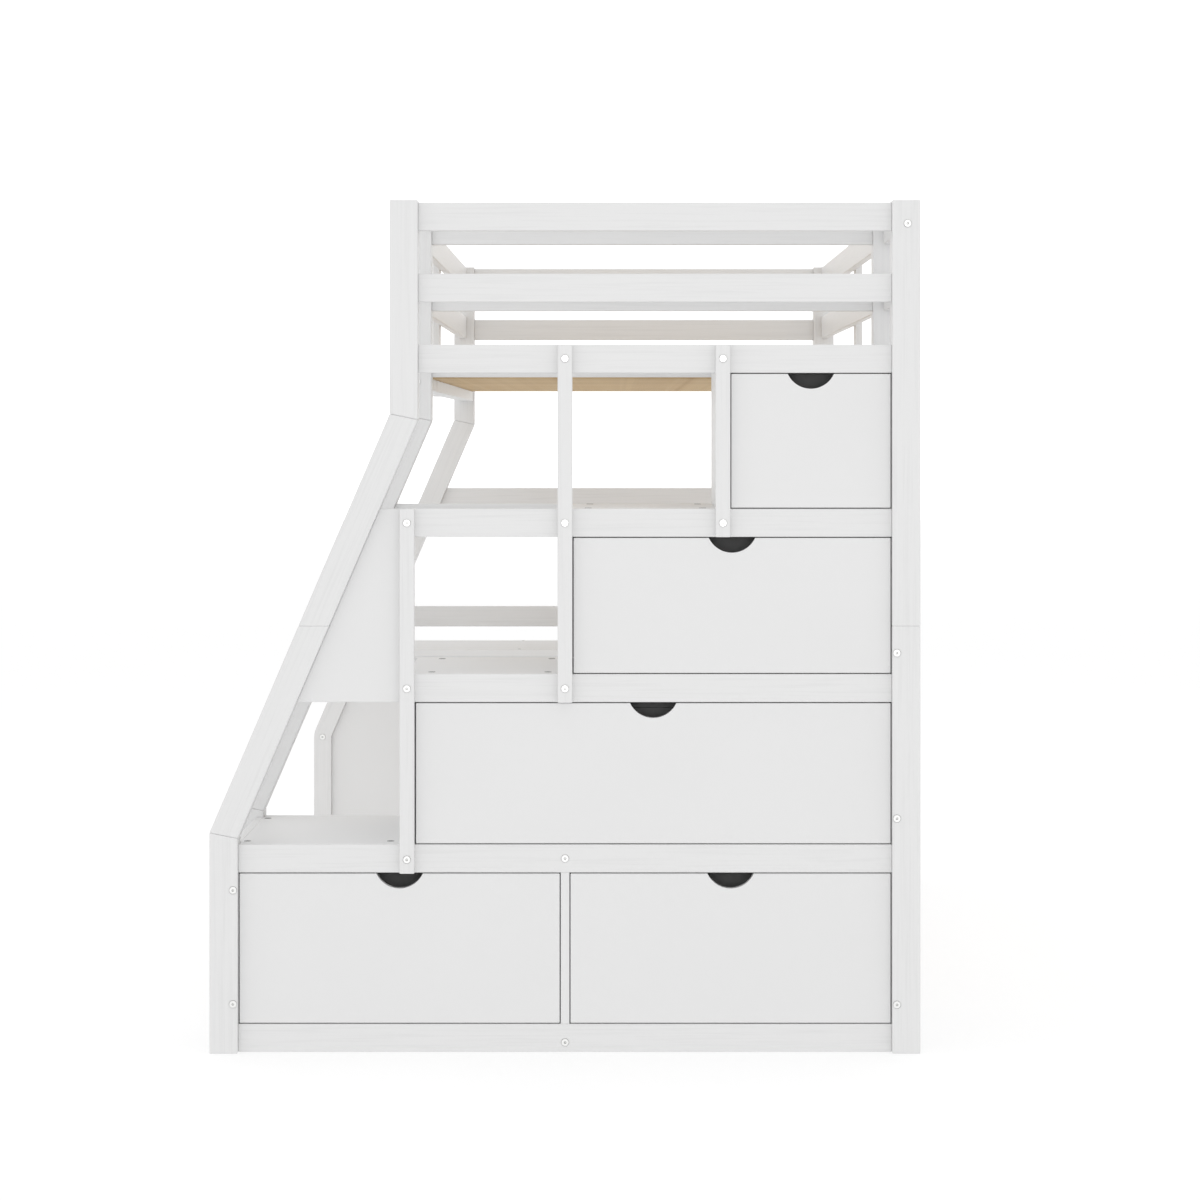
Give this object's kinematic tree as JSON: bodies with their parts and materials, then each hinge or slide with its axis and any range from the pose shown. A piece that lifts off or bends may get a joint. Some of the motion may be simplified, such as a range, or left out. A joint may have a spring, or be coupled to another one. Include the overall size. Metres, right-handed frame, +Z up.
{
  "type": "loft bed",
  "caption": "White wooden loft bed with a drawer staircase across its foot end, slatted deck, guard rails and a low open case at the head end.",
  "frame": {"origin": "on the floor, in the middle of the bed's outer box", "axes": "+Z up, +Y along the bed from the staircase end to the head end, +X across the bed, from the slanted legs to the straight posts"},
  "size_m": [1.4504, 2.5034, 1.739],
  "materials": {
    "white_paint": "satin white paint",
    "drawer_board": "matt white foil on board",
    "pine": "planed bare pine",
    "bolt_steel": "satin nickel"
  },
  "bodies": {
    "root": {"back_panels": "white_paint", "battens": "white_paint", "bolts": "bolt_steel", "case_boards": "white_paint", "case_legs": "white_paint", "case_panel": "white_paint", "case_top_board": "white_paint", "floor_board": "white_paint", "foot_bed_rail": "white_paint", "foot_guard_rails": "white_paint", "foot_leg_lower": "white_paint", "foot_leg_upper": "white_paint", "foot_lower_rails": "white_paint", "foot_post_lower": "white_paint", "foot_post_upper": "white_paint", "frame_pins": "bolt_steel", "guard_panel": "white_paint", "head_bed_rail": "white_paint", "head_guard_rails": "white_paint", "head_leg_lower": "white_paint", "head_leg_upper": "white_paint", "head_lower_rails": "white_paint", "head_post_lower": "white_paint", "head_post_upper": "white_paint", "landing_board": "white_paint", "landing_guard_rails": "white_paint", "ledgers": "white_paint", "left_guard_rails": "white_paint", "left_side_panel": "white_paint", "right_guard_rails": "white_paint", "right_side_panels": "white_paint", "side_battens": "white_paint", "side_rails": "white_paint", "slats": "pine", "stair_bed_rail": "white_paint", "stair_floor_rail": "white_paint", "stair_guard_rails": "white_paint", "stair_leg_lower": "white_paint", "stair_leg_upper": "white_paint", "stair_post_lower": "white_paint", "stair_post_upper": "white_paint", "stair_rail_1": "white_paint", "stair_rail_2": "white_paint", "stair_rail_3": "white_paint", "step_board_1": "white_paint", "step_board_2": "white_paint", "step_board_3": "white_paint", "stretcher": "white_paint", "uprights": "white_paint"},
    "lower_left_drawer": {"lower_left_drawer_front": "white_paint", "lower_left_drawer_box": "drawer_board"},
    "lower_right_drawer": {"lower_right_drawer_front": "white_paint", "lower_right_drawer_box": "drawer_board"},
    "long_drawer": {"long_drawer_front": "white_paint", "long_drawer_box": "drawer_board"},
    "middle_drawer": {"middle_drawer_front": "white_paint", "middle_drawer_box": "drawer_board"},
    "top_drawer": {"top_drawer_front": "white_paint", "top_drawer_box": "drawer_board"}
  },
  "joints": [
    {"name": "lower_left_drawer_slide", "type": "slide", "parent": "root", "child": "lower_left_drawer", "axis": [0, -1, 0], "range_m": [0, 0.32]},
    {"name": "lower_right_drawer_slide", "type": "slide", "parent": "root", "child": "lower_right_drawer", "axis": [0, -1, 0], "range_m": [0, 0.32]},
    {"name": "long_drawer_slide", "type": "slide", "parent": "root", "child": "long_drawer", "axis": [0, -1, 0], "range_m": [0, 0.32]},
    {"name": "middle_drawer_slide", "type": "slide", "parent": "root", "child": "middle_drawer", "axis": [0, -1, 0], "range_m": [0, 0.32]},
    {"name": "top_drawer_slide", "type": "slide", "parent": "root", "child": "top_drawer", "axis": [0, -1, 0], "range_m": [0, 0.32]}
  ]
}
